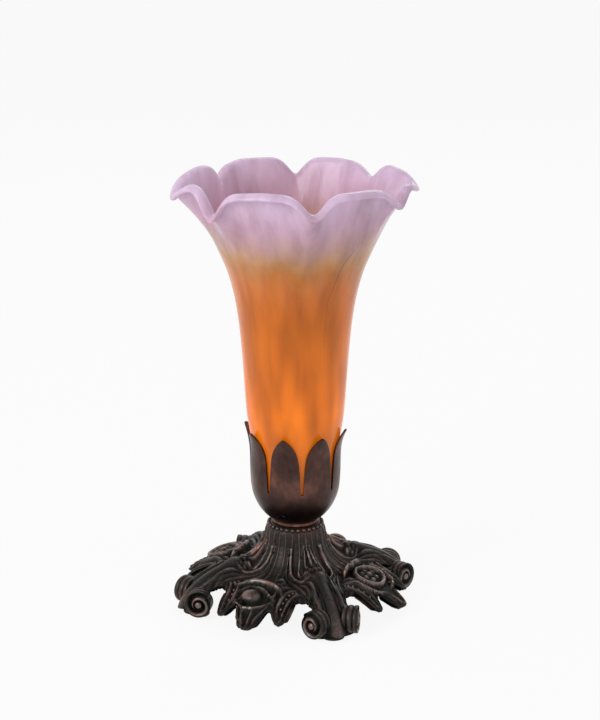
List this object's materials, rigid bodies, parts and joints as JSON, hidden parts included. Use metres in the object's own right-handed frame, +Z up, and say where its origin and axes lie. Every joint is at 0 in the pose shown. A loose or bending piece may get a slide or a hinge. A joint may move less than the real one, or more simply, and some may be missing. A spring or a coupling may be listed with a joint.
{
  "type": "accent lamp",
  "caption": "accent lamp with a ruffled opal glass lily shade standing in a metal leaf cup on a cast four-footed base, with a candelabra socket and bulb inside",
  "frame": {"origin": "on the table under the lamp's axis, in the middle of the four feet", "axes": "+Z up along the lamp's axis; the picture is taken from -Y, with +X to the right"},
  "size_m": [0.1116, 0.1116, 0.2031],
  "materials": {
    "bronze_patina": "dark bronze patina over a metal casting, rubbed through to copper on raised edges",
    "bronze_patina_sheet": "mahogany bronze patina on spun sheet",
    "copper_finish": "turned ring, copper-coloured where the patina is thin",
    "felt": "black felt",
    "plated_steel": "zinc plated steel",
    "black_nylon": "moulded nylon",
    "brass_hardware": "bare brass",
    "phenolic": "moulded phenolic resin",
    "opal_glass": "blown opal glass, lavender lips over an amber stem",
    "solder": "tin solder",
    "clear_glass": "clear glass",
    "frosted_glass": "inside-etched glass of a lit bulb",
    "nickelled_brass": "nickel plated brass",
    "black_glass": "dark insulating glass",
    "tungsten": "tungsten wire"
  },
  "bodies": {
    "stand": {"foot_casting": "bronze_patina", "felt_pads": "felt", "seating_ring": "copper_finish", "leaf_cup": "bronze_patina_sheet", "lamp_pipe": "plated_steel", "base_washer": "plated_steel", "base_lock_washer": "plated_steel", "base_hex_nut": "plated_steel", "pipe_end_bushing": "black_nylon", "cup_washer": "plated_steel", "cup_lock_nut": "brass_hardware", "shade_cushion_ring": "felt", "socket_bracket": "plated_steel", "socket_body": "phenolic", "socket_screw_shell": "brass_hardware", "socket_centre_contact": "brass_hardware", "socket_terminal_screws": "brass_hardware", "socket_rivet": "brass_hardware"},
    "shade": {"glass_shade": "opal_glass"},
    "bulb_screw_travel": {"bulb_contact": "solder"},
    "bulb": {"bulb_glass": "frosted_glass", "bulb_screw_cap": "nickelled_brass", "bulb_insulator": "black_glass", "bulb_stem": "clear_glass", "bulb_lead_wires": "nickelled_brass", "bulb_filament": "tungsten"}
  },
  "joints": [
    {"name": "shade_lift", "type": "slide", "parent": "stand", "child": "shade", "axis": [0, 0, 1], "range_m": [0, 0.08]},
    {"name": "bulb_rise", "type": "slide", "parent": "stand", "child": "bulb_screw_travel", "axis": [0, 0, 1], "range_m": [0, 0.0128]},
    {"name": "bulb_turn", "type": "hinge", "parent": "bulb_screw_travel", "child": "bulb", "pos_m": [0, 0, 0.06], "axis": [0, 0, 1], "range_deg": [0, 1800]}
  ],
  "couplings": [
    {"joint": "bulb_rise", "follows": "bulb_turn", "m_per_rad": 0.00040425}
  ]
}
